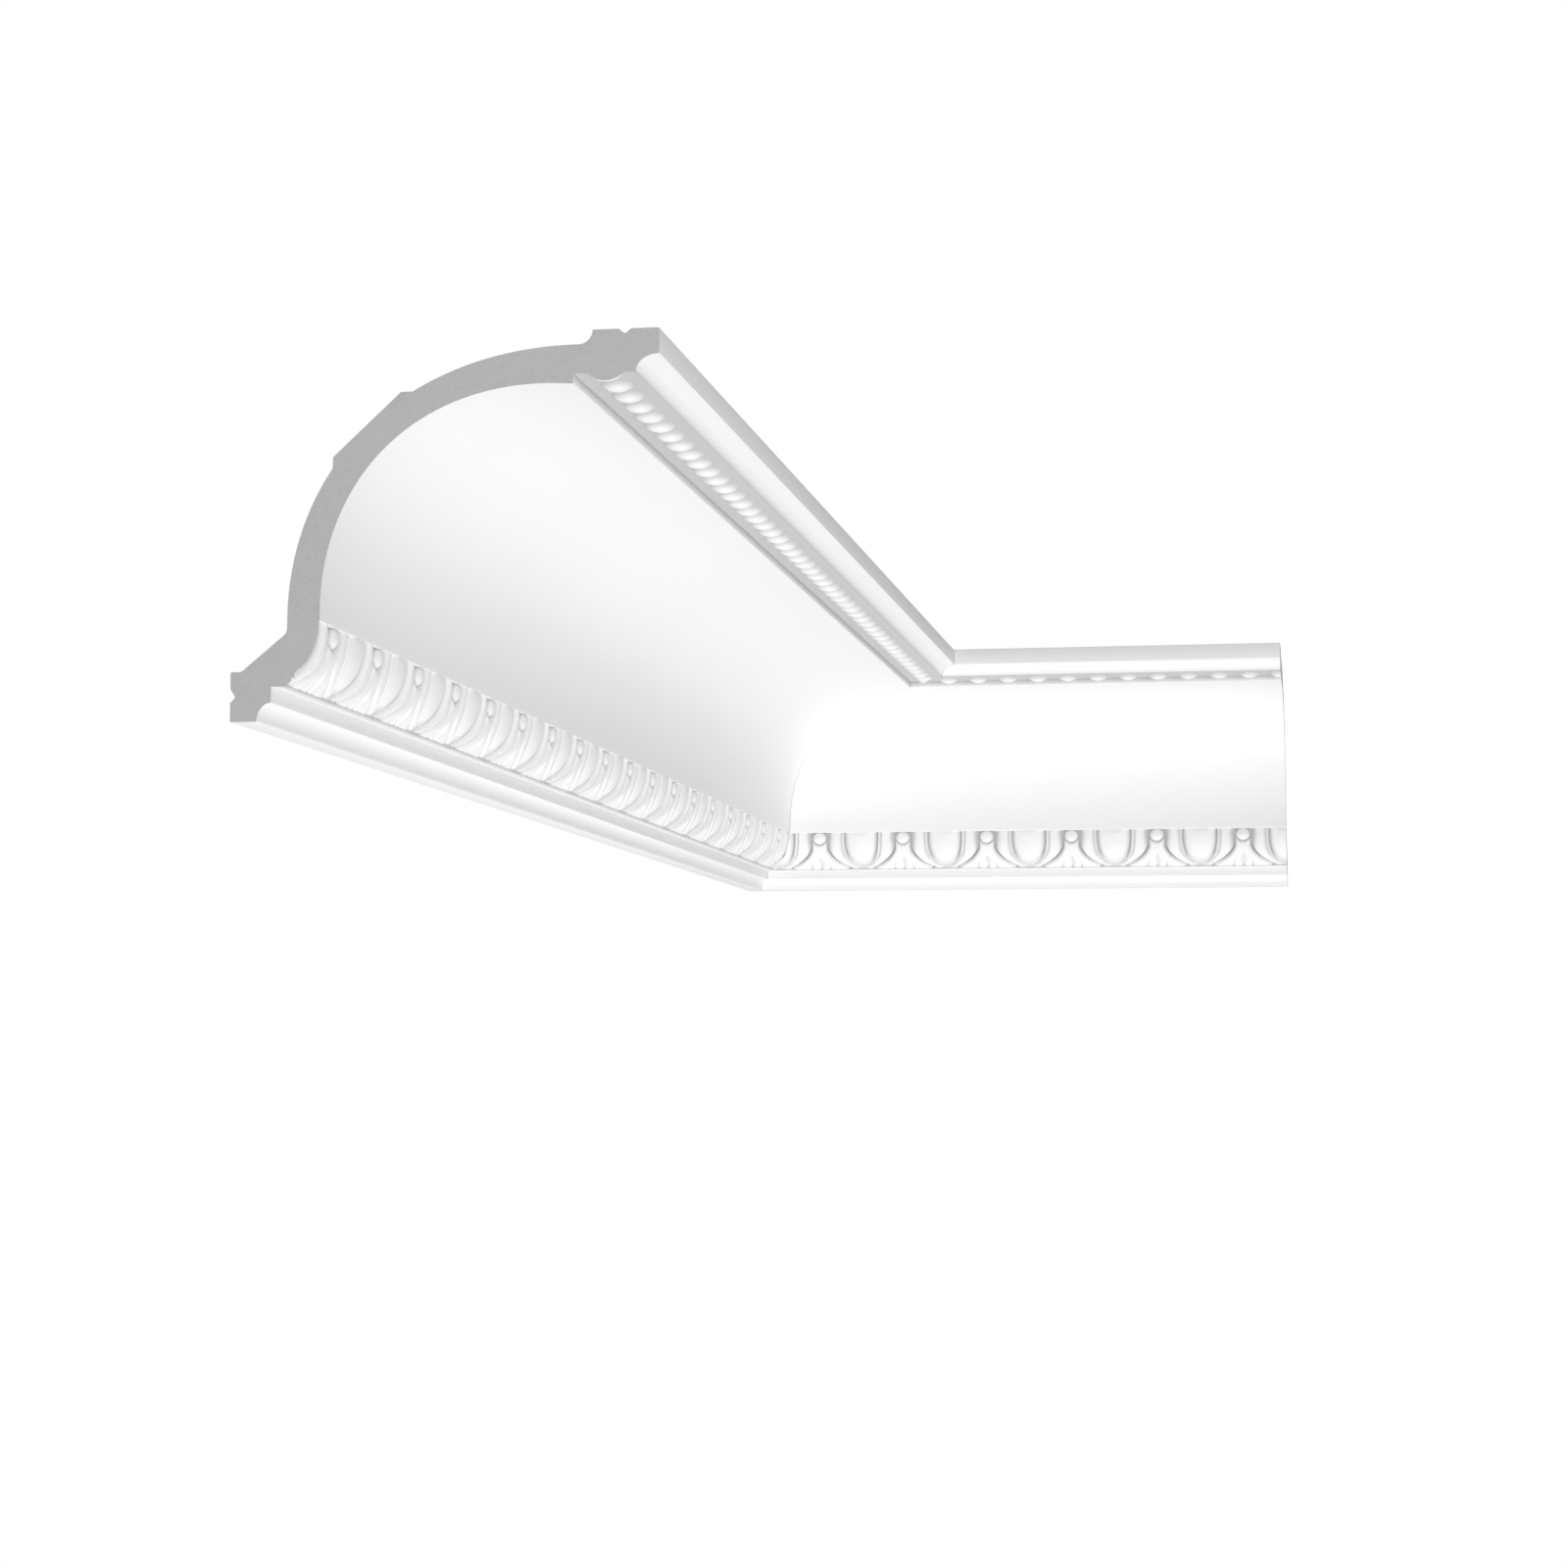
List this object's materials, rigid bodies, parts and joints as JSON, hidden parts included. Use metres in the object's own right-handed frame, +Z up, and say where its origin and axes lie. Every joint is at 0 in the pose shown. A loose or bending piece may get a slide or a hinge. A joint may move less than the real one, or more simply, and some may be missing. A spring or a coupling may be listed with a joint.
{
  "type": "cornice moulding section",
  "caption": "Mitred inside corner of a coved cornice: egg and dart band below a deep cove, pearls under the soffit, plain fascia, open back with flat glue strips.",
  "frame": {"origin": "mount back_wall_face: a point on the back wall's lower glue strip, 100 mm from the corner line and 4 mm above the underside", "axes": "+Y out of the room through the back wall, +Z up to the ceiling, +X along the back wall from the corner to the right length's square end"},
  "size_m": [0.403, 1.16, 0.157],
  "materials": {
    "white_primer_left": "matt white primer over rigid foam",
    "white_primer_right": "matt white primer over rigid foam"
  },
  "bodies": {
    "root": {"left_length": "white_primer_left", "right_length": "white_primer_right"}
  },
  "joints": []
}
